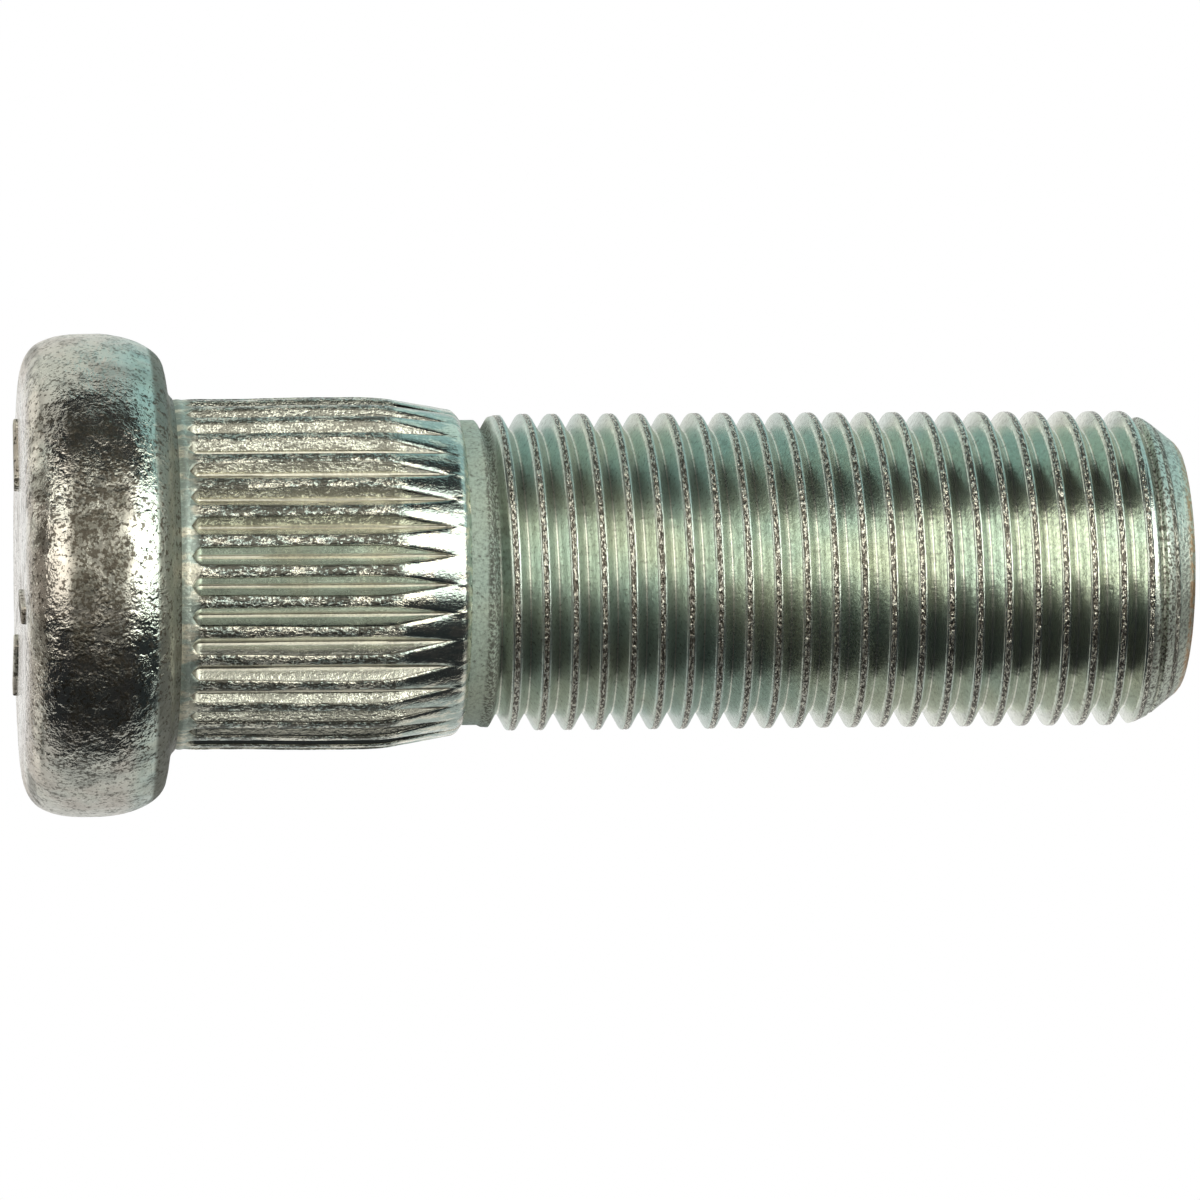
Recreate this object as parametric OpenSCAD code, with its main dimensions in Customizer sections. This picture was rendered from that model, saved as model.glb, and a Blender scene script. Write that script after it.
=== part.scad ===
// Press-in wheel stud: a round crowned head, a straight knurl with a tapered lead-in,
// a rolled neck and a long right-hand thread. It stands on its head, tip up.
// Heights that a size gives are measured up from the head's outer face.

/* [Head] */
// Diameter of the head
head_d = 23.7; // [22.5:0.1:30]
// Height of the head, from its outer face to the seat
head_h = 7.1; // [5.5:0.1:10]
// Radius of the rounded edge between the outer face and the head's side
face_round = 2.25; // [0.5:0.05:2.6]
// Height of the crowned edge between the head's side and the seat
crown_h = 3.1; // [1:0.1:3.6]
// Width that the crowned edge takes off the seat, on each side
crown_w = 1.4; // [0.3:0.05:1.5]
// Radius of the fillet between the seat and the shank
seat_fillet = 0.5; // [0.1:0.05:0.6]

/* [Head marks] */
// Number of plain raised bars on the outer face
mark_count = 3; // [3:1:6]
// Height of the raised bars
mark_h = 0.2; // [0.1:0.05:0.4]
// Width of a raised bar
mark_w = 0.9; // [0.5:0.1:1.5]
// Distance from the axis to a bar's inner end
mark_in = 4.4; // [3.5:0.1:5.5]
// Distance from the axis to a bar's outer end
mark_out = 7.9; // [6.5:0.1:8.5]
// Turn of the first bar around the axis, in degrees
mark_turn = 165; // [0:1:360]

/* [Knurl] */
// Diameter over the knurl's lands
knurl_d = 17.3; // [16.8:0.05:18.5]
// Diameter of the plain shank between the seat and the knurl
shank_d = 17.1; // [16.6:0.05:18]
// Height at which the plain shank ends and the knurl rises
knurl_start = 8.2; // [8:0.05:9]
// Height at which the full knurl ends and its lead-in starts
knurl_end = 17.5; // [12:0.1:22]
// Number of grooves
knurl_count = 36; // [24:2:48]
// Depth of a groove below the lands
knurl_depth = 0.6; // [0.3:0.05:0.7]
// Angle between a groove's two flanks, in degrees
knurl_angle = 80; // [60:1:90]
// Slope at which each groove rises out of the shank towards the head, in degrees from the axis
ramp_angle = 45; // [30:1:60]
// Slope of the tapered lead-in, in degrees from the axis
lead_angle = 10; // [7:0.5:15]
// Length of the tapered lead-in
lead_l = 3.6; // [2:0.1:4]
// Length of the steep shoulder between the lead-in and the neck
shoulder_l = 0.45; // [0.2:0.05:1]

/* [Neck] */
// Diameter of the plain neck that the thread is rolled from
neck_d = 15; // [14.2:0.05:15.4]
// Length of the plain neck
neck_l = 1.2; // [0.6:0.1:6]

/* [Thread] */
// Length from the head's outer face to the tip
stud_l = 57.15; // [48:0.05:70]
// Major diameter of the thread
thread_d = 15.62; // [15.5:0.01:15.9]
// Threads in 25.4 mm
threads_per_inch = 18; // [14:1:20]
// Angle between a thread's two flanks, in degrees
thread_angle = 60; // [55:1:60]
// Width of the flat on a thread's crest
crest_w = 0.32; // [0.15:0.01:0.4]
// Width of the flat at a thread's root
root_w = 0.15; // [0.1:0.01:0.3]
// Turn around the axis at which the thread groove starts, in degrees
thread_turn = 36; // [0:1:360]
// Part of a turn over which the groove reaches its full depth
run_in = 0.25; // [0.2:0.05:0.5]

/* [Tip] */
// Diameter of the flat end of the tip
tip_d = 12.6; // [11:0.1:13.5]

/* [Hidden] */
$fn = 96;
steel = "#b9b8ad";

inch = 25.4;
overlap = 0.3; // how far a cutting shape reaches past what it cuts

// The head: its seat is flat, and its crowned edge is an arc that is level with the side
head_r = head_d/2;
crown_r = (crown_h*crown_h + crown_w*crown_w)/(2*crown_w);
face_r = head_r - face_round;

// The shank and the knurl, from the seat up
shank_r = shank_d/2;
knurl_r = knurl_d/2;
rise_h = (knurl_r - shank_r)/tan(ramp_angle);
root_r = knurl_r - knurl_depth;
lead_top = knurl_end + lead_l;
lead_r = knurl_r - lead_l*tan(lead_angle);
groove_start = knurl_start - (shank_r - root_r)/tan(ramp_angle)/2;

// The neck and the thread
neck_r = neck_d/2;
neck_start = lead_top + shoulder_l;
thread_start = neck_start + neck_l;
thread_r = thread_d/2;
pitch = inch/threads_per_inch;
flank_slope = tan(thread_angle/2);
thread_depth = (pitch - crest_w - root_w)/2/flank_slope;
thread_root_r = thread_r - thread_depth;
crest_rise = (thread_r - neck_r)/tan(ramp_angle);
tip_r = tip_d/2;
tip_bevel = thread_r - tip_r;

// The thread groove follows a helix in straight steps, from the neck out past the tip
steps_a_turn = 24;
groove_turns = (stud_l - thread_start + pitch)/pitch;
groove_steps = ceil(groove_turns*steps_a_turn);
groove_out_r = thread_r + overlap;
groove_root_half = root_w/2;
groove_out_half = groove_root_half + (groove_out_r - thread_root_r)*flank_slope;

// The head's half section: a block less what lies outside its two rounded edges
module head_section() {
    intersection() {
        square([head_r, head_h]);
        union() {
            translate([0, face_round]) square([head_r, head_h]);
            square([face_r, head_h]);
            translate([face_r, face_round]) circle(face_round);
        }
        union() {
            square([head_r, head_h - crown_h]);
            square([head_r - crown_r, head_h]);
            translate([head_r - crown_r, head_h - crown_h]) circle(crown_r);
        }
    }
}

// The fillet's half section: a square less the quarter circle that rolls in the corner
module fillet_section() {
    translate([shank_r, head_h]) difference() {
        square(seat_fillet);
        translate([seat_fillet, seat_fillet]) circle(seat_fillet);
    }
}

// The shank's half section, from inside the head to the flat end of the tip
module shank_section() {
    polygon([
        [0, head_h/2],
        [shank_r, head_h/2],
        [shank_r, knurl_start],
        [knurl_r, knurl_start + rise_h],
        [knurl_r, knurl_end],
        [lead_r, lead_top],
        [neck_r, neck_start],
        [neck_r, thread_start - crest_rise],
        [thread_r, thread_start],
        [thread_r, stud_l - tip_bevel],
        [tip_r, stud_l],
        [0, stud_l]
    ]);
}

module blank() {
    rotate_extrude() {
        head_section();
        fillet_section();
        shank_section();
    }
}

// A groove's section: a V that opens outwards from its root
module vee(depth, half_angle) {
    half = depth*tan(half_angle);
    polygon([[0, 0], [depth, -half], [depth, half]]);
}

// One knurl groove's tool: a long V whose root line slants out past the shank's surface at its lower end.
// The slanted V is wider, so that both give the same V in a level section.
module knurl_groove() {
    tool_start = groove_start - overlap/tan(ramp_angle);
    run = lead_top + shoulder_l - tool_start;
    intersection() {
        translate([root_r, 0, tool_start]) linear_extrude(run)
            vee(knurl_depth + overlap, knurl_angle/2);
        translate([shank_r + overlap, 0, tool_start]) rotate([0, -ramp_angle, 0]) linear_extrude(run)
            vee(run, atan(tan(knurl_angle/2)/cos(ramp_angle)));
    }
}

// The grooves stand between lands that are centred on whole steps around the axis
module knurl_grooves() {
    step = 360/knurl_count;
    for (i = [0:knurl_count - 1])
        rotate((i + 0.5)*step) knurl_groove();
}

// A point of the thread groove: its radius and its height above the groove's middle, turned to its step
function on_helix(i, r, h) = let (turn = thread_turn + i*360/steps_a_turn)
    [r*cos(turn), r*sin(turn), thread_start - pitch/2 + i*pitch/steps_a_turn + h];

// How far the groove's section is drawn out of the blank while it runs in
function drawn_out(i) = max(0, 1 - i/(run_in*steps_a_turn))*(thread_depth + overlap/2);

// The four corners of the groove's section at one step, from the outer lower one to the outer upper one
function groove_ring(i) = let (out = drawn_out(i)) [
    on_helix(i, groove_out_r + out, -groove_out_half),
    on_helix(i, thread_root_r + out, -groove_root_half),
    on_helix(i, thread_root_r + out, groove_root_half),
    on_helix(i, groove_out_r + out, groove_out_half)
];

// The two triangles that join side k of one ring to the next ring
function ring_side(i, k) = let (a = i*4 + k, b = i*4 + (k + 1)%4) [[a, a + 4, b + 4], [a, b + 4, b]];

module thread_groove() {
    last = groove_steps*4;
    polyhedron(
        points = [for (i = [0:groove_steps]) each groove_ring(i)],
        faces = concat(
            [[0, 1, 2, 3]],
            [for (i = [0:groove_steps - 1]) for (k = [0:3]) each ring_side(i, k)],
            [[last + 3, last + 2, last + 1, last]]
        ),
        convexity = 10
    );
}

// Plain raised bars on the head's outer face, each set a little way into the head
module marks() {
    for (i = [0:mark_count - 1])
        rotate(mark_turn + i*360/mark_count)
            translate([mark_in, -mark_w/2, -mark_h])
                cube([mark_out - mark_in, mark_w, mark_h*2]);
}

module wheel_stud() {
    color(steel) translate([0, 0, mark_h]) {
        difference() {
            blank();
            knurl_grooves();
            thread_groove();
        }
        marks();
    }
}

wheel_stud();
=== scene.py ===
"""The looks of a press-in wheel stud: a forged head, a rolled knurl and a rolled thread, all zinc plated.

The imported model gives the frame. Each operator below models one stretch of the stud, or sets the stage.
Heights in the sections are measured from the head's outer face, as on a maker's drawing.
"""

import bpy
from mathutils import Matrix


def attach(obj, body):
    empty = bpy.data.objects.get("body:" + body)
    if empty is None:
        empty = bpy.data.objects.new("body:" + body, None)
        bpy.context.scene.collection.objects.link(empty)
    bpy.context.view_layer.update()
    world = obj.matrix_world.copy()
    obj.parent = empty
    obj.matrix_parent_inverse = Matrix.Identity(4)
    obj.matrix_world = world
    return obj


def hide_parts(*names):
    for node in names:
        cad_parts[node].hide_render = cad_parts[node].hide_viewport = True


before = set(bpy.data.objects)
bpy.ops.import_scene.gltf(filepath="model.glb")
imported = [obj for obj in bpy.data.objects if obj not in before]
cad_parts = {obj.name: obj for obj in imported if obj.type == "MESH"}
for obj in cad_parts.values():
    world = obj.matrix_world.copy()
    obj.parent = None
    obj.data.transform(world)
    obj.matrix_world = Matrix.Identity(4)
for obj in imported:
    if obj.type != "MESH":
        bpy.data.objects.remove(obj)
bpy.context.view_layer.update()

import math

import bpy
from bpy.props import FloatProperty, FloatVectorProperty, IntProperty, PointerProperty
from bpy.types import Operator, Panel, PropertyGroup
from mathutils import Matrix, Vector, noise

bl_info = {
    "name": "Zinc plated wheel stud",
    "version": (1, 0, 0),
    "blender": (4, 5, 0),
    "location": "3D View > Sidebar > Wheel stud",
    "description": "Models the head, knurl and thread of a press-in wheel stud, and sets a plain studio",
    "category": "Add Mesh",
}

MM = 0.001
MICRON = 0.000001
TURN = 2 * math.pi
NODE = "wheel_stud"

# The head's outer face lies this far above what the stud stands on, because of the raised bars
FACE_LIFT = 0.2 * MM
# The radius at which noise on the round surfaces has its own scale
MEAN_RADIUS = 8 * MM


# Sections

def along(points, share):
    """The place at a share of the curve that points pull on. Two points give a straight line."""
    while len(points) > 1:
        points = [tuple(a + (b - a) * share for a, b in zip(one, other))
                  for one, other in zip(points, points[1:])]
    return points[0]


def chain(start, *stretches):
    """Points along stretches, each a number of steps and then the points that pull it to its end."""
    points = [start]
    for steps, *pulls in stretches:
        held = [points[-1], *pulls]
        points += [along(held, step / steps) for step in range(1, steps + 1)]
    return points


# Half sections, as (radius, height above the head's outer face) in millimetres
HEAD_SECTION = chain(
    (0, 0),
    (9, (8.8, 0)),  # the flat outer face
    (8, (10.1, 0), (10.74, 0.22), (11.2, 0.68)),  # its rounded edge
    (8, (11.51, 0.99), (11.84, 1.8), (11.84, 2.9)),
    (2, (11.84, 3.6)),  # the side
    (13, (11.85, 5.18), (11.25, 6.65), (10.42, 6.95)),  # the crowned edge
    (6, (9.67, 7.17), (8.92, 7.06), (8.64, 7.46)),  # the seat and the fillet
    (1, (8.5, 7.5)), (1, (7.5, 7.5)), (1, (0, 7.5)),  # closed inside the shank
)
LAND_SECTION = chain(
    (0, 5), (1, (8.3, 5)), (1, (8.52, 7)),  # closed inside the head
    (1, (8.555, 7.3)), (1, (8.555, 7.55)),  # the plain shank
    (5, (8.615, 7.75), (8.56, 7.83), (8.548, 7.95)),  # the ring that rolling pushes up
    (9, (8.562, 8.13), (8.583, 8.32), (8.585, 8.5)),  # where the grooves begin
    (8, (8.585, 8.7), (8.585, 10.2)),
    (10, (8.585, 11.4), (8.63, 12.5), (8.65, 13.7)),  # the lands swell a little
    (8, (8.65, 16.4)),
    (9, (8.638, 17.54), (8.575, 17.97), (8.49, 18.4)),
    (12, (8.065, 20.8)), (1, (8.035, 20.95)),  # the tapered lead-in
    (8, (8.02, 21.26), (7.635, 21.49), (7.42, 21.58)),  # the shoulder
    (1, (0, 21.58)),  # closed inside the neck
)
# From a root of the thread to the crest above it, as (share of a pitch, share of the thread's depth)
THREAD_SECTION = chain(
    (0, 0),
    (4, (0.052, 0), (0.079, 0.15), (0.115, 0.235)),  # the round root
    (4, (0.305, 0.825)),  # the flank
    (4, (0.33, 0.89), (0.353, 0.98), (0.425, 1)),  # the crest
    (3, (0.469, 0.997), (0.457, 0.984), (0.5, 0.95)),  # the seam along its middle
)


# Shader maths

class Signal:
    """One socket of a node tree, so that a pattern reads as plain sums."""

    def __init__(self, tree, socket):
        self.tree, self.socket = tree, socket

    def _math(self, operation, *values):
        return self.tree.node("ShaderNodeMath", {"operation": operation}, dict(enumerate(values)))["Value"]

    def __add__(self, other):
        return self._math("ADD", self, other)

    def __sub__(self, other):
        return self._math("SUBTRACT", self, other)

    def __rsub__(self, other):
        return self._math("SUBTRACT", other, self)

    def __mul__(self, other):
        return self._math("MULTIPLY", self, other)

    def __truediv__(self, other):
        return self._math("DIVIDE", self, other)

    __radd__ = __add__
    __rmul__ = __mul__

    def fraction(self):
        """What is left after the whole number."""
        return self._math("FRACT", self)

    def absolute(self):
        return self._math("ABSOLUTE", self)

    def greatest(self, other):
        return self._math("MAXIMUM", self, other)

    def step(self, low, high):
        """0 below low and 1 above high, smooth in between. With low above high it falls from 1 to 0."""
        return self.tree.node("ShaderNodeMapRange", {"interpolation_type": "SMOOTHSTEP"},
                              {"Value": self, "From Min": low, "From Max": high})["Result"]

    def past(self, first, last):
        """A step between two places in millimetres."""
        return self.step(first * MM, last * MM)


class Finish:
    """The node tree of a material or a world, and the one way in which nodes are added to it."""

    def __init__(self, owner):
        owner.use_nodes = True
        self.owner, self.tree = owner, owner.node_tree
        self.tree.nodes.clear()

    def node(self, kind, settings=None, sockets=None):
        """Adds a node: its settings first, then its sockets' values or links. Gives its outputs by name."""
        made = self.tree.nodes.new(kind)
        for name, value in (settings or {}).items():
            setattr(made, name, value)
        for name, value in (sockets or {}).items():
            socket = made.inputs[name]
            if isinstance(value, Signal):
                self.tree.links.new(value.socket, socket)
            else:
                socket.default_value = value
        return {output.name: Signal(self, output) for output in made.outputs if output.enabled}

    def position(self):
        return self.node("ShaderNodeTexCoord")["Object"]

    def axes(self, where):
        return self.node("ShaderNodeSeparateXYZ", None, {"Vector": where})

    def attribute(self, name):
        return self.node("ShaderNodeAttribute", {"attribute_name": name})["Fac"]

    def grain(self, where, size, detail, rough=0.6, stretch=None):
        """Noise between 0 and 1 whose lumps are about size millimetres across."""
        if stretch is not None:
            where = self.node("ShaderNodeMapping", None, {"Vector": where, "Scale": stretch})["Vector"]
        return self.node("ShaderNodeTexNoise", {"noise_dimensions": "3D"}, {
            "Vector": where, "Scale": 1 / (size * MM), "Detail": detail, "Roughness": rough,
        })["Fac"]

    def blend(self, share, first, second):
        """A colour that goes from first to second as share goes from 0 to 1."""
        return self.node("ShaderNodeMix", {"data_type": "RGBA"}, {0: share, 6: first, 7: second})["Result"]

    def bump(self, height, depth):
        return self.node("ShaderNodeBump", None, {"Height": height, "Distance": depth * MM})["Normal"]

    def zinc(self, colour, roughness, normal):
        """Sends a metal surface to the material's output, and gives the material."""
        shader = self.node("ShaderNodeBsdfPrincipled", None, {
            "Base Color": colour, "Metallic": 1.0, "Roughness": roughness, "Normal": normal,
        })["BSDF"]
        self.node("ShaderNodeOutputMaterial", None, {"Surface": shader})
        return self.owner


def paint(colour):
    return (*colour, 1.0)


# Modelling

def select_only(piece):
    bpy.ops.object.select_all(action="DESELECT")
    piece.select_set(True)
    bpy.context.view_layer.objects.active = piece


def start_edit(piece):
    select_only(piece)
    bpy.ops.object.mode_set(mode="EDIT")
    bpy.ops.mesh.select_all(action="SELECT")


def end_edit():
    bpy.ops.object.mode_set(mode="OBJECT")


def draw_section(name, points):
    """An open line through points (radius, height), drawn beside the axis by extruding its end."""
    bpy.ops.object.select_all(action="DESELECT")
    bpy.ops.mesh.primitive_plane_add(size=MM, location=(0, 0, 0))
    piece = bpy.context.object
    piece.name = piece.data.name = name
    start_edit(piece)
    bpy.ops.mesh.merge(type="CENTER")
    radius, height = points[0]
    bpy.ops.transform.translate(value=(radius, 0, height))
    for next_radius, next_height in points[1:]:
        move = (next_radius - radius, 0, next_height - height)
        bpy.ops.mesh.extrude_region_move(TRANSFORM_OT_translate={"value": move})
        radius, height = next_radius, next_height
    end_edit()
    return piece


def standing(section):
    """A section in millimetres above the head's outer face, in metres above what the stud stands on."""
    return [(radius * MM, height * MM + FACE_LIFT) for radius, height in section]


def close_skin():
    """Merges doubled points and turns every face outwards, in edit mode."""
    bpy.ops.mesh.select_all(action="SELECT")
    bpy.ops.mesh.remove_doubles(threshold=2 * MICRON)
    bpy.ops.mesh.normals_make_consistent(inside=False)


def lathe(name, section, steps):
    """A closed solid of revolution from a half section."""
    piece = draw_section(name, standing(section))
    start_edit(piece)
    bpy.ops.mesh.spin(steps=steps, angle=TURN, center=(0, 0, 0), axis=(0, 0, 1))
    close_skin()
    end_edit()
    return piece


def form(piece, rule):
    """Moves each point of a piece to where rule puts it, from its radius, turn and height."""
    for point in piece.data.vertices:
        radius = math.hypot(point.co.x, point.co.y)
        turn = math.atan2(point.co.y, point.co.x) % TURN
        point.co = rule(radius, turn, point.co.z)
    piece.data.update()


def on_turn(radius, turn, height):
    return Vector((radius * math.cos(turn), radius * math.sin(turn), height))


def ease(value, low, high):
    """0 below low and 1 above high, smooth in between."""
    share = min(1.0, max(0.0, (value - low) / (high - low)))
    return share * share * (3 - 2 * share)


def ripple(turn, height, size, seed):
    """Smooth seeded noise between -1 and 1 on a round surface, with lumps about size millimetres across."""
    around = MEAN_RADIUS / (size * MM)
    up = height / (size * MM) + seed
    return noise.noise(Vector((around * math.cos(turn), around * math.sin(turn), up)))


def between(points, value):
    """The first coordinate of a chain of points at a value of the second, which rises along it."""
    for (low_out, low), (high_out, high) in zip(points, points[1:]):
        if low < high and value <= high:
            return low_out + (high_out - low_out) * (value - low) / (high - low)
    return points[-1][0]


def finish_piece(piece, material, smooth_angle):
    """Shades a piece, gives it its material and ties it to the frame."""
    select_only(piece)
    bpy.ops.object.shade_smooth_by_angle(angle=math.radians(smooth_angle))
    piece.data.materials.clear()
    piece.data.materials.append(material)
    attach(piece, "root")
    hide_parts(NODE)


# What a user may change

class StudSizes(PropertyGroup):
    """Sizes of the stud's rolled and forged forms"""
    knurl_grooves: IntProperty(
        name="Knurl grooves", description="Number of grooves around the shank", default=36, min=24, max=48)
    knurl_root: FloatProperty(
        name="Knurl root", description="Radius at the foot of the knurl's grooves",
        default=8.05 * MM, unit="LENGTH", precision=5)
    knurl_half_angle: FloatProperty(
        name="Knurl half angle", description="Half the angle between two flanks",
        default=math.radians(40), subtype="ANGLE")
    pitch: FloatProperty(
        name="Pitch", description="Rise of the thread in one turn",
        default=25.4 / 18 * MM, unit="LENGTH", precision=6)
    crest: FloatProperty(
        name="Crest", description="Radius at the thread's crests",
        default=7.8 * MM, unit="LENGTH", precision=5)
    root: FloatProperty(
        name="Root", description="Radius at the thread's roots",
        default=6.98 * MM, unit="LENGTH", precision=5)
    length: FloatProperty(
        name="Length", description="From the head's outer face to the tip",
        default=57.15 * MM, unit="LENGTH", precision=5)


class ZincColours(PropertyGroup):
    """Colours of the plating and of what lies on it and in its pits, two of them also used for painted
    highlights and shade
    """
    plate: FloatVectorProperty(
        name="Plate", description="Clean zinc plate",
        default=(0.66, 0.70, 0.60), subtype="COLOR", min=0, max=1)
    tint: FloatVectorProperty(
        name="Tint", description="Passivated film, a little green",
        default=(0.57, 0.66, 0.60), subtype="COLOR", min=0, max=1)
    # Cream also paints highlights along the roots of the knurl and the thread, and light on the knurl's
    # flanks and towards the thread's tip.
    cream: FloatVectorProperty(
        name="Cream", description="Brushed high spots",
        default=(0.90, 0.86, 0.72), subtype="COLOR", min=0, max=1)
    # Soil also paints shade along the knurl's land edges and at its groove ends.
    soil: FloatVectorProperty(
        name="Soil", description="Dark dirt in pits and seams",
        default=(0.10, 0.085, 0.065), subtype="COLOR", min=0, max=1)
    rust: FloatVectorProperty(
        name="Rust", description="Brown edge where the tip was sheared",
        default=(0.62, 0.36, 0.18), subtype="COLOR", min=0, max=1)
    chalk: FloatVectorProperty(
        name="Chalk", description="Dull pale bloom on the forged skin and in the seams",
        default=(0.77, 0.70, 0.62), subtype="COLOR", min=0, max=1)
    film: FloatVectorProperty(
        name="Film", description="Brownish film on the head's side",
        default=(0.185, 0.175, 0.145), subtype="COLOR", min=0, max=1)


class StudioLevels(PropertyGroup):
    """Levels of the lamps and the room"""
    front: FloatProperty(
        name="Front", description="Brightness of the wide box behind the camera", default=0.5, min=0)
    upper: FloatProperty(
        name="Upper", description="Brightness of the box on the tip's side of it", default=2.8, min=0)
    under: FloatProperty(
        name="Under", description="Brightness of the box on the head's side of it", default=1.8, min=0)
    foot: FloatProperty(
        name="Foot", description="Brightness of the box under the head", default=0.3, min=0)
    heel: FloatProperty(
        name="Heel", description="Brightness of the box behind and under the head", default=0.45, min=0)
    top: FloatProperty(
        name="Top", description="Brightness of the box over the tip", default=1.8, min=0)
    cool: FloatProperty(
        name="Cool", description="Brightness of the cool box behind", default=0.68, min=0)
    grey: FloatProperty(
        name="Grey", description="Brightness of the grey box under the cool one", default=0.74, min=0)
    back: FloatProperty(
        name="Back", description="Brightness of the other box behind", default=0.62, min=0)
    room: FloatProperty(
        name="Room", description="Brightness of the dim room", default=0.025, min=0)
    floor: FloatVectorProperty(
        name="Floor", description="Colour of the pale floor",
        default=(0.80, 0.80, 0.79), subtype="COLOR", min=0, max=1)


# Finishes

def forged_zinc(colours):
    """The head: a forged skin under plate, pitted and mottled, with a dull bloom in places."""
    finish = Finish(bpy.data.materials.new("forged_zinc"))
    where = finish.position()
    axes = finish.axes(where)
    height, across = axes["Z"], axes["X"]

    broad = finish.grain(where, size=3, detail=4)
    patch = finish.grain(where, size=1.3, detail=4)
    pits = finish.grain(where, size=0.34, detail=3)
    dust = finish.grain(where, size=0.17, detail=2)
    spark = finish.grain(where, size=0.09, detail=1, rough=0.5)
    gritty = finish.grain(where, size=1.1, detail=3).step(0.42, 0.60)

    on_bar = height.past(0.2, 0.12)
    face_edge = height.past(0.35, 0.5) * height.past(1.3, 0.95)
    on_side = height.past(1.9, 2.5) * height.past(5.6, 4.6) * across.absolute().past(8.8, 6.4)
    below_seat = height.past(5.9, 4.9)
    at_seat = height.past(6.3, 6.6)
    at_limb = across.absolute().past(8, 10.5)
    at_front = (across + 1.7 * MM).absolute().past(4.0, 1.5)
    lower_limb = across.past(10.2, 11.6)

    side_film = 0.35 + at_front * 0.2 + broad.step(0.38, 0.60) * 0.35 + patch.step(0.40, 0.60) * 0.3
    edge_film = (broad.step(0.46, 0.62) * 0.35).greatest(patch.step(0.48, 0.66) * 0.3)
    filmed = on_side * side_film + (1 - on_side) * edge_film
    stained = filmed.greatest(lower_limb * 0.35).greatest(at_seat * 0.85)
    stained = stained.greatest(face_edge * (0.25 + patch.step(0.4, 0.6) * 0.5))
    pitted = (pits * 0.5 + dust * 0.5 + patch * 0.25 + on_side * 0.05).step(0.665, 0.72)

    colour = finish.blend(patch.step(0.35, 0.65), paint(colours.plate), paint(colours.tint))
    colour = finish.blend(below_seat * (0.6 + broad.step(0.4, 0.6) * 0.4), colour, paint(colours.chalk))
    colour = finish.blend(stained, colour, paint(colours.film))
    colour = finish.blend(pitted * (0.9 - at_limb * 0.35), colour, paint(colours.soil))
    relief = patch * 0.28 + pits * (0.04 + gritty * 0.06)
    relief = relief + dust * (0.05 + gritty * 0.12) + spark * (0.02 + gritty * 0.05)
    roughness = 0.15 + filmed * 0.2 + pitted * 0.15 + at_limb * 0.15 + at_seat * 0.3 + on_bar * 0.35
    return finish.zinc(colour, roughness, finish.bump(relief, depth=0.25))


def knurled_zinc(colours):
    """The shank: rolled flanks, and lands that keep the forged skin, scraped and speckled."""
    finish = Finish(bpy.data.materials.new("knurled_zinc"))
    where = finish.position()
    axes = finish.axes(where)
    height, across = axes["Z"], axes["X"]
    land, root = finish.attribute("land"), finish.attribute("root")

    broad = finish.grain(where, size=4, detail=2, rough=0.5)
    lump = finish.grain(where, size=0.6, detail=3, stretch=(1, 1, 0.4))
    pits = finish.grain(where, size=0.13, detail=2)
    scrape = finish.grain(where, size=0.12, detail=3, stretch=(1, 1, 0.35))

    plain_shank = height.past(7.95, 7.75)
    groove_end = height.past(8.7, 8.3)
    lead_in = height.past(18.0, 18.8)
    on_land = land.step(0.4, 0.8)
    on_flank = 1 - on_land
    in_root = root.step(0.3, 0.8)
    painted_shade_at_land_edges = land.step(0.02, 0.2) * land.step(0.75, 0.45)
    upper = across.past(-1.0, -2.6)
    lower = across.past(2.5, 4.0)
    low_rows = across.past(4.6, 6.0) * across.past(7.5, 6.9)
    flaked = upper.greatest(low_rows * 0.75) * (1 - in_root)
    coarse = on_land.greatest(flaked * 0.75) * (1 - lead_in * 0.8) * (1 - groove_end * 0.7)

    pitted = (pits * 0.4 + scrape * 0.4 + lump * 0.35).step(0.535, 0.60) * coarse
    # The groove_end term paints shade: soil on the flanks in the hollows at the groove ends.
    mottle = (lump * 0.5 + pits * 0.5).step(0.42, 0.62) * 0.25 + groove_end * on_flank * 0.65
    # Painted shade: soil along the edges of the lands, where their rounded edges turn away from the lamps.
    dark = (pitted * 0.9).greatest(mottle).greatest(painted_shade_at_land_edges * (0.5 + lump.step(0.4, 0.6) * 0.4))
    # Painted highlight: cream along the groove roots. Painted light: cream on the flanks, stronger towards
    # the top and bottom of the view, over a little burnish.
    burnish_and_painted_light = in_root.greatest(on_flank * (0.25 + upper.greatest(lower) * 0.45))

    colour = finish.blend(broad.step(0.45, 0.75), paint(colours.tint), paint(colours.plate))
    colour = finish.blend(on_land * lump.step(0.55, 0.4), colour, paint(colours.cream))
    colour = finish.blend(burnish_and_painted_light, colour, paint(colours.cream))
    colour = finish.blend(dark, colour, paint(colours.soil))
    relief = scrape * (0.04 + coarse * 0.22) + pits * (0.03 + coarse * 0.30) + lump * (0.06 + coarse * 0.15)
    roughness = 0.17 + on_land * 0.01 + pitted * 0.2 + groove_end * 0.36 + plain_shank * 0.15 + in_root * 0.15
    return finish.zinc(colour, roughness, finish.bump(relief, depth=0.2))


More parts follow.
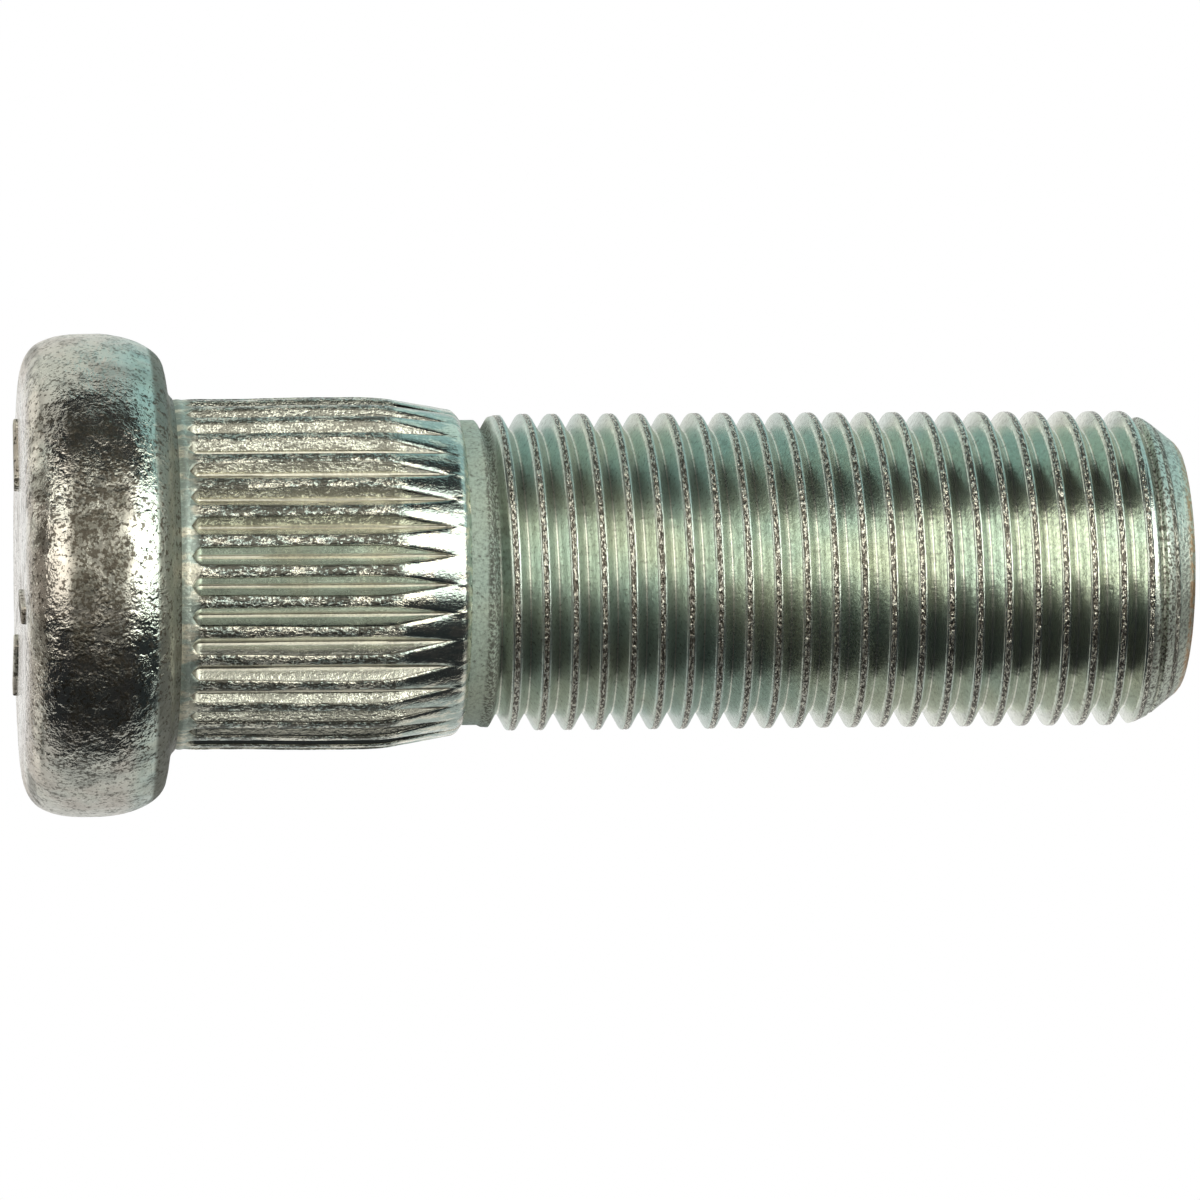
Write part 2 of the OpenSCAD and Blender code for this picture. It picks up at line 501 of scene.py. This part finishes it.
def threaded_zinc(colours, sizes):
    """The thread: smooth green-grey flanks, and crests with the rough seam that rolling leaves."""
    finish = Finish(bpy.data.materials.new("threaded_zinc"))
    where = finish.position()
    axes = finish.axes(where)
    height = axes["Z"]
    off_axis = axes["X"] * axes["X"] + axes["Y"] * axes["Y"]
    around = finish.node("ShaderNodeMath", {"operation": "ARCTAN2"}, {0: axes["Y"], 1: axes["X"]})["Value"]
    off_crest = (((height - FIRST_ROOT) / sizes.pitch - around / TURN).fraction() - 0.5).absolute()
    first_root = FIRST_ROOT / MM

    broad = finish.grain(where, size=6, detail=2, rough=0.5)
    fine = finish.grain(where, size=0.3, detail=3)
    speckle = finish.grain(where, size=0.15, detail=3, rough=0.65)
    streak = finish.grain(where, size=0.09, detail=2, stretch=(0.4, 0.4, 1))
    drawn = finish.grain(where, size=0.11, detail=2, rough=0.5, stretch=(0.04, 0.04, 1))

    on_skin = off_axis.step((6.0 * MM) ** 2, (6.15 * MM) ** 2)
    on_thread = height.past(first_root + 0.95, first_root + 1.2) * on_skin
    bare_neck = (1 - on_thread) * on_skin
    dirty_neck = bare_neck * height.past(first_root + 0.3, first_root + 0.55)
    seam = (off_crest + (fine - 0.5) * 0.12).step(0.105, 0.07) * on_thread
    painted_highlight_along_root = off_crest.step(0.465, 0.485) * on_thread
    towards_tip = height.past(30, 52)
    at_tip = height.past(55.0, 55.4)
    on_ridge = height.past(56.35, 56.0)
    rim = height.past(56.95, 57.15) * off_axis.step((5.7 * MM) ** 2, (6.0 * MM) ** 2)

    mottle = speckle * 0.6 + fine * 0.4
    dark = (seam * streak.step(0.58, 0.48)).greatest(dirty_neck * speckle.step(0.40, 0.56) * 0.7)
    dark = dark.greatest(at_tip * mottle.step(0.47, 0.57) * (0.6 + on_ridge * 0.35))
    dark = dark.greatest(mottle.step(0.42, 0.62) * 0.22).greatest(mottle.step(0.58, 0.66) * 0.6)

    colour = finish.blend(broad.step(0.35, 0.65), paint(colours.plate), paint(colours.tint))
    # Painted light: cream towards the tip lightens the thread where its highlights are brighter.
    colour = finish.blend(towards_tip * 0.2, colour, paint(colours.cream))
    colour = finish.blend(seam * 0.6, colour, paint(colours.chalk))
    colour = finish.blend(seam * fine.step(0.40, 0.55), colour, paint(colours.cream))
    # Painted highlight: a thin cream line along each root of the thread.
    colour = finish.blend(painted_highlight_along_root * 0.6, colour, paint(colours.cream))
    colour = finish.blend(dark * 0.93, colour, paint(colours.soil))
    colour = finish.blend(rim * (0.3 + fine.step(0.42, 0.58) * 0.5), colour, paint(colours.rust))
    relief = streak * seam * 1.3 + speckle * (0.06 + bare_neck * 0.35 + at_tip * 0.3)
    relief = relief + fine * (0.13 + seam) + drawn * 0.16
    roughness = 0.28 - towards_tip * 0.10 + bare_neck * 0.56 + at_tip * 0.2 + mottle.step(0.4, 0.6) * 0.05
    return finish.zinc(colour, roughness, finish.bump(relief, depth=0.08))


# The head

HEAD_STEPS = 360
BAR_COUNT = 3
BAR_LENGTH, BAR_WIDTH, BAR_ROUND = 3.5 * MM, 0.9 * MM, 0.09 * MM
BAR_MIDDLE = 6.15 * MM
BAR_TURN = math.radians(165)
DENT_DEPTH, GRIT_DEPTH = 0.09 * MM, 0.03 * MM


class STUD_OT_head(Operator):
    """Turn the forged head from its half section and set its raised bars"""
    bl_idname = "stud.head"
    bl_label = "Forged head"

    def execute(self, context):
        head = lathe("stud_head", HEAD_SECTION, HEAD_STEPS)
        form(head, self.forged)
        bars = [self.bar(index) for index in range(BAR_COUNT)]
        select_only(head)
        for bar in bars:
            bar.select_set(True)
        bpy.ops.object.join()
        finish_piece(head, forged_zinc(context.scene.zinc_colours), smooth_angle=40)
        return {"FINISHED"}

    @staticmethod
    def forged(radius, turn, height):
        """Takes a little off the turned shape, as scale and dents do, and never adds to it."""
        side = ease(radius, 9 * MM, 11 * MM) * ease(height, 0.1 * MM, 1.2 * MM)
        dent = 0.5 + 0.5 * ripple(turn, height, size=2.4, seed=3.1)
        grit = 0.5 + 0.5 * ripple(turn, height, size=0.7, seed=9.7)
        share = side * (0.6 - 0.4 * math.cos(turn))
        return on_turn(radius - share * (dent * DENT_DEPTH + grit * GRIT_DEPTH), turn, height)

    @staticmethod
    def bar(index):
        """One plain raised bar with rounded edges, set a little way into the outer face."""
        deep = FACE_LIFT * 2
        bpy.ops.object.select_all(action="DESELECT")
        bpy.ops.mesh.primitive_cube_add(size=1, location=(BAR_MIDDLE, 0, deep / 2),
                                        scale=(BAR_LENGTH, BAR_WIDTH, deep))
        bar = bpy.context.object
        bpy.ops.object.transform_apply(location=True, rotation=True, scale=True)
        start_edit(bar)
        bpy.ops.mesh.bevel(offset=BAR_ROUND, segments=3, affect="EDGES")
        end_edit()
        bar.rotation_euler.z = BAR_TURN + index * TURN / BAR_COUNT
        bpy.ops.object.transform_apply(location=True, rotation=True, scale=True)
        return bar


# The knurled shank

# Columns of points across half a groove and half a land: the column's kind and its share of that stretch
HALF_COLUMNS = [
    ("groove", 0), ("groove", 0.12), ("groove", 0.4), ("groove", 0.7), ("groove", 0.88),
    ("land", 0.1), ("land", 0.38), ("land", 1),
]
STEPS_A_GROOVE = 2 * (len(HALF_COLUMNS) - 1)
GROOVE_FROM, GROOVE_TO = 7.95 * MM + FACE_LIFT, 21.5 * MM + FACE_LIFT
GROOVE_RAMP = 0.5 * MM
GROOVE_BLUNT = 0.06 * MM
GROOVE_LEAST = 0.03 * MM
# The groove's root is uneven by this much over this length
ROOT_WEAR, ROOT_WEAR_LENGTH = 0.02 * MM, 2.2 * MM
# Points nearer the axis than this only close the shank's ends
CORE = 7 * MM
# Over this share of a half land, from the groove's edge, the land rounds off by this much
LAND_ROUND_SHARE, LAND_ROUND = 0.4, 0.12 * MM
LAND_WEAR = 0.012 * MM


class STUD_OT_knurl(Operator):
    """Turn the shank and press its knurl into it, groove by groove"""
    bl_idname = "stud.knurl"
    bl_label = "Knurled shank"

    def execute(self, context):
        self.sizes = context.scene.stud_sizes
        shank = lathe("stud_knurl", LAND_SECTION, self.sizes.knurl_grooves * STEPS_A_GROOVE)
        form(shank, self.rolled)
        self.mark(shank)
        finish_piece(shank, knurled_zinc(context.scene.zinc_colours), smooth_angle=50)
        return {"FINISHED"}

    def column(self, turn):
        """The groove's number, and which column of its points this turn is, counted from its middle."""
        index = round(turn / TURN * self.sizes.knurl_grooves * STEPS_A_GROOVE)
        return index // STEPS_A_GROOVE, index % STEPS_A_GROOVE - STEPS_A_GROOVE // 2

    def rolled(self, radius, turn, height):
        """Gathers each groove's columns to its flanks and presses them in, and rounds the lands a little."""
        if not GROOVE_FROM < height < GROOVE_TO or radius < CORE:
            return on_turn(radius, turn, height)
        groove, column = self.column(turn)
        kind, share = HALF_COLUMNS[abs(column)]
        sign = 1 if column >= 0 else -1
        middle = (groove + 0.5) * TURN / self.sizes.knurl_grooves
        slope = math.tan(self.sizes.knurl_half_angle)
        wear = noise.noise(Vector((groove * 3.7, height / ROOT_WEAR_LENGTH, 0.5))) * ROOT_WEAR
        root = self.sizes.knurl_root + wear
        begun = min(1.0, (height - GROOVE_FROM) / GROOVE_RAMP)
        root = radius - (radius - root) * (1 - (1 - begun) ** 2)
        half_width = max(GROOVE_LEAST, (radius - root) * slope)
        if kind == "groove":
            aside = half_width * share
            rise = (math.hypot(aside, GROOVE_BLUNT) - GROOVE_BLUNT) / slope
            out = radius if radius <= root else min(radius, root + rise)
            return on_turn(math.hypot(out, aside), middle + sign * math.atan2(aside, out), height)
        edge = math.asin(half_width / radius)
        rest = math.pi / self.sizes.knurl_grooves - edge
        uneven = ripple(turn, height, size=0.8, seed=5.3) * LAND_WEAR
        uneven -= (LAND_ROUND_SHARE - min(share, LAND_ROUND_SHARE)) * LAND_ROUND
        return on_turn(radius + uneven, middle + sign * (edge + rest * share), height)

    def mark(self, shank):
        """Writes where the lands and the groove roots are, for the finish."""
        land = shank.data.attributes.new("land", "FLOAT", "POINT")
        root = shank.data.attributes.new("root", "FLOAT", "POINT")
        lands = standing(LAND_SECTION)
        for index, point in enumerate(shank.data.vertices):
            radius = math.hypot(point.co.x, point.co.y)
            inside = between(lands, point.co.z) - radius
            land.data[index].value = 1 - ease(inside, 0.07 * MM, 0.13 * MM)
            in_root = 1 - ease(radius - self.sizes.knurl_root, 0.03 * MM, 0.09 * MM)
            root.data[index].value = in_root * ease(inside, 0.02 * MM, 0.1 * MM)


# The thread

# The thread's first full root, as a height at no turn
FIRST_ROOT = 21.905 * MM + FACE_LIFT
TURNS_BELOW, TURNS_ABOVE = 2, 26
STEPS_A_TURN = 108
# The thread is cut off here, out of sight inside the knurled shank
THREAD_FOOT = 20.8 * MM + FACE_LIFT
CREST_BAND, CREST_WEAR = 0.2 * MM, 0.012 * MM
# Towards the tip the roots run shallower by this much
SHALLOWER = 0.2 * MM
# What the thread stays inside at the neck and at the tip, as (radius, height) like the sections
NECK_OUTLINE = [
    (7.5, 0), (7.5, 22.35), (7.6, 22.55), (7.62, 22.9), (7.72, 23.3), (7.8, 24.2), (7.8, 60),
]
TIP_OUTLINE = [
    (7.79, 0), (7.79, 54.5), (7.64, 55), (7.4, 55.55), (7.2, 55.85), (6.3, 57), (6.1, 57.15), (6, 60),
]


class STUD_OT_thread(Operator):
    """Wind the rolled thread from the neck to the tip, and cut it to length"""
    bl_idname = "stud.thread"
    bl_label = "Rolled thread"

    def execute(self, context):
        self.sizes = sizes = context.scene.stud_sizes
        thread = draw_section("stud_thread", self.one_pitch())
        winding = thread.modifiers.new("winding", "SCREW")
        winding.angle = TURN
        winding.screw_offset = sizes.pitch
        winding.iterations = TURNS_BELOW + TURNS_ABOVE
        winding.steps = winding.render_steps = STEPS_A_TURN
        winding.use_normal_calculate = True
        bpy.ops.object.modifier_apply(modifier=winding.name)
        form(thread, self.rolled)
        start_edit(thread)
        bpy.ops.mesh.remove_doubles(threshold=2 * MICRON)
        for height, up in ((THREAD_FOOT, -1), (sizes.length + FACE_LIFT - MICRON, 1)):
            bpy.ops.mesh.select_all(action="SELECT")
            bpy.ops.mesh.bisect(plane_co=(0, 0, height), plane_no=(0, 0, up), use_fill=True,
                                clear_outer=True, threshold=MICRON)
        close_skin()
        end_edit()
        finish_piece(thread, threaded_zinc(context.scene.zinc_colours, sizes), smooth_angle=60)
        return {"FINISHED"}

    def one_pitch(self):
        """The thread's line from the lowest root, over a crest, to the next root."""
        sizes = self.sizes
        depth = sizes.crest - sizes.root
        bottom = FIRST_ROOT - TURNS_BELOW * sizes.pitch
        rising = [(sizes.root + rise * depth, bottom + run * sizes.pitch) for run, rise in THREAD_SECTION]
        falling = [(radius, 2 * bottom + sizes.pitch - height) for radius, height in reversed(rising[:-1])]
        return rising + falling

    def rolled(self, radius, turn, height):
        """Starts the groove at the neck, wears the crests a little and cuts the tip's bevel."""
        pitch, crest = self.sizes.pitch, self.sizes.crest
        drawn_height = (height - FACE_LIFT) / MM
        groove = (height - FIRST_ROOT) / pitch - turn / TURN
        nearest = FIRST_ROOT + (math.floor(groove + 0.5) + turn / TURN) * pitch
        started = ease(nearest, FIRST_ROOT + 0.12 * pitch, FIRST_ROOT + 0.42 * pitch)
        outer = between(NECK_OUTLINE, drawn_height) * MM
        wear = ripple(turn, height, size=0.5, seed=2.2) + ripple(turn, height, size=3, seed=7.9)
        crested = ease(radius, crest - CREST_BAND, crest)
        worn = min(radius + wear * CREST_WEAR * crested, outer)
        radius = outer + (worn - outer) * started
        radius += ease(height, 54.3 * MM, 55.8 * MM) * (1 - crested) * SHALLOWER
        return on_turn(min(radius, between(TIP_OUTLINE, drawn_height) * MM), turn, height)


# The stage

# The photograph's view: the camera looks across the stud from a little below, with the head on the left
AWAY_TURN = math.radians(0.7)
TILT = math.radians(6.2)
ROLL = math.radians(0.42)
LOOK_HEIGHT = 28.72 * MM
LOOK_DOWN = 1.4 * MM
CAMERA_DISTANCE = 384.2 * MM
LENS = 234.0
SENSOR_WIDTH = 36.0
FLOOR_SIZE = 2.0
ROOM_COLOUR = (0.85, 0.97, 1.1, 1)
WHITE = (1, 1, 1, 1)

# Soft boxes that face the stud, each with the name of its level, its turn from the camera towards the
# picture's top and its rise in degrees, its distance and its size across and along the stud in
# millimetres, and its colour
SOFT_BOXES = [
    ("front", 6, 2, 400, (600, 120), (1.0, 0.98, 0.92)),
    ("upper", 18, 40, 300, (276, 380), (0.98, 1.0, 0.94)),
    ("under", 16, -32, 300, (290, 220), (1.0, 0.99, 0.92)),
    ("foot", 0, -90, 400, (520, 380), (1.0, 0.93, 0.83)),
    ("heel", 180, -48, 400, (520, 300), (1.0, 0.97, 0.90)),
    ("top", 0, 90, 500, (600, 600), (1.0, 1.0, 0.97)),
    ("cool", 125, 40.4, 600, (700, 900), (0.70, 1.0, 1.01)),
    ("grey", 125, -33.4, 600, (700, 900), (0.95, 1.0, 0.95)),
    ("back", -127, 0, 500, (560, 1700), (0.97, 1.0, 0.98)),
]


def picture_axes():
    """Unit vectors of the photograph's view: away from the camera, and up in the picture."""
    away = Vector((-math.sin(AWAY_TURN), math.cos(AWAY_TURN), 0))
    up = Vector((-math.cos(AWAY_TURN), -math.sin(AWAY_TURN), 0))
    return away, up


class STUD_OT_stage(Operator):
    """Lay the floor, set the lamps and the room, and point the camera"""
    bl_idname = "stud.stage"
    bl_label = "Studio"

    def execute(self, context):
        levels = context.scene.studio_levels
        self.floor(levels)
        for soft_box in SOFT_BOXES:
            self.lamp(levels, *soft_box)
        self.room(context.scene, levels)
        self.camera(context.scene)
        return {"FINISHED"}

    @staticmethod
    def floor(levels):
        """A pale floor that the camera sees through from below, and that metal doesn't mirror."""
        bpy.ops.object.select_all(action="DESELECT")
        bpy.ops.mesh.primitive_plane_add(size=FLOOR_SIZE, location=(0, 0, 0))
        floor = bpy.context.object
        floor.name = "floor"
        floor.visible_glossy = floor.visible_shadow = False
        finish = Finish(bpy.data.materials.new("floor_paint"))
        rays = finish.node("ShaderNodeLightPath")
        below = finish.node("ShaderNodeNewGeometry")["Backfacing"] * rays["Is Camera Ray"]
        pale = finish.node("ShaderNodeBsdfDiffuse", None, {"Color": paint(levels.floor)})["BSDF"]
        clear = finish.node("ShaderNodeBsdfTransparent")["BSDF"]
        mixed = finish.node("ShaderNodeMixShader", None, {0: below, 1: pale, 2: clear})["Shader"]
        finish.node("ShaderNodeOutputMaterial", None, {"Surface": mixed})
        floor.data.materials.append(finish.owner)

    @staticmethod
    def lamp(levels, name, around, rise, distance, size, colour):
        """One soft box that faces the stud's middle."""
        away, up = picture_axes()
        turn, lift = math.radians(around), math.radians(rise)
        level_out = -away * math.cos(turn) + up * math.sin(turn)
        out = level_out * math.cos(lift) + Vector((0, 0, math.sin(lift)))
        along_stud = Vector((0, 0, math.cos(lift))) - level_out * math.sin(lift)
        middle = Vector((0, 0, LOOK_HEIGHT))
        bpy.ops.object.light_add(type="AREA", location=middle + out * distance * MM)
        lamp = bpy.context.object
        lamp.name = name + "_box"
        lamp.visible_camera = False
        lamp.visible_glossy = name != "top"
        lamp.data.shape = "RECTANGLE"
        lamp.data.size, lamp.data.size_y = size[0] * MM, size[1] * MM
        lamp.data.energy = getattr(levels, name) * math.pi * lamp.data.size * lamp.data.size_y
        lamp.data.color = colour
        lamp.rotation_euler = Matrix((along_stud.cross(out), along_stud, out)).transposed().to_euler()

    @staticmethod
    def room(scene, levels):
        """White where the camera, or metal that mirrors what lies behind, looks past the stud, else dim."""
        away, _ = picture_axes()
        world = bpy.data.worlds.new("studio_room")
        scene.world = world
        tree = Finish(world)
        rays = tree.node("ShaderNodeLightPath")
        heading = tree.node("ShaderNodeTexCoord")["Generated"]
        behind = tree.node("ShaderNodeVectorMath", {"operation": "DOT_PRODUCT"},
                           {0: heading, 1: away})["Value"].step(0.80, 0.97)
        mirrored = rays["Is Glossy Ray"].greatest(rays["Is Transmission Ray"]) * behind
        white = rays["Is Camera Ray"].greatest(mirrored)
        dim, bright = (
            tree.node("ShaderNodeBackground", None, {"Color": colour, "Strength": strength})["Background"]
            for colour, strength in ((ROOM_COLOUR, levels.room), (WHITE, 1.0))
        )
        mixed = tree.node("ShaderNodeMixShader", None, {0: white, 1: dim, 2: bright})["Shader"]
        tree.node("ShaderNodeOutputWorld", None, {"Surface": mixed})

    @staticmethod
    def camera(scene):
        away, up = picture_axes()
        along_stud = Vector((0, 0, 1))
        forward = along_stud * math.sin(TILT) + away * math.cos(TILT)
        target = along_stud * LOOK_HEIGHT - up * LOOK_DOWN
        bpy.ops.object.camera_add(location=target - forward * CAMERA_DISTANCE)
        camera = bpy.context.object
        right = forward.cross(up)
        turned_right = right * math.cos(ROLL) - up * math.sin(ROLL)
        turned_up = up * math.cos(ROLL) + right * math.sin(ROLL)
        camera.rotation_euler = Matrix((turned_right, turned_up, -forward)).transposed().to_euler()
        camera.data.lens = LENS
        camera.data.sensor_width = SENSOR_WIDTH
        camera.data.clip_start, camera.data.clip_end = 0.01, 10.0
        scene.camera = camera
        scene.view_settings.view_transform = "Standard"


# The add-on

OPERATORS = (STUD_OT_head, STUD_OT_knurl, STUD_OT_thread, STUD_OT_stage)


class STUD_PT_tools(Panel):
    """Lists the stud's operators and the sizes, colours and levels that they use"""
    bl_idname = "STUD_PT_tools"
    bl_label = "Wheel stud"
    bl_space_type = "VIEW_3D"
    bl_region_type = "UI"
    bl_category = "Wheel stud"

    def draw(self, context):
        for operator in OPERATORS:
            self.layout.operator(operator.bl_idname)
        for group in (context.scene.stud_sizes, context.scene.zinc_colours, context.scene.studio_levels):
            box = self.layout.box()
            for name in type(group).__annotations__:
                box.prop(group, name)


CLASSES = (StudSizes, ZincColours, StudioLevels, *OPERATORS, STUD_PT_tools)


def register():
    for one in CLASSES:
        bpy.utils.register_class(one)
    bpy.types.Scene.stud_sizes = PointerProperty(type=StudSizes)
    bpy.types.Scene.zinc_colours = PointerProperty(type=ZincColours)
    bpy.types.Scene.studio_levels = PointerProperty(type=StudioLevels)


def unregister():
    del bpy.types.Scene.studio_levels
    del bpy.types.Scene.zinc_colours
    del bpy.types.Scene.stud_sizes
    for one in reversed(CLASSES):
        bpy.utils.unregister_class(one)


def main():
    register()
    bpy.ops.stud.head()
    bpy.ops.stud.knurl()
    bpy.ops.stud.thread()
    bpy.ops.stud.stage()


if __name__ == "__main__":
    main()
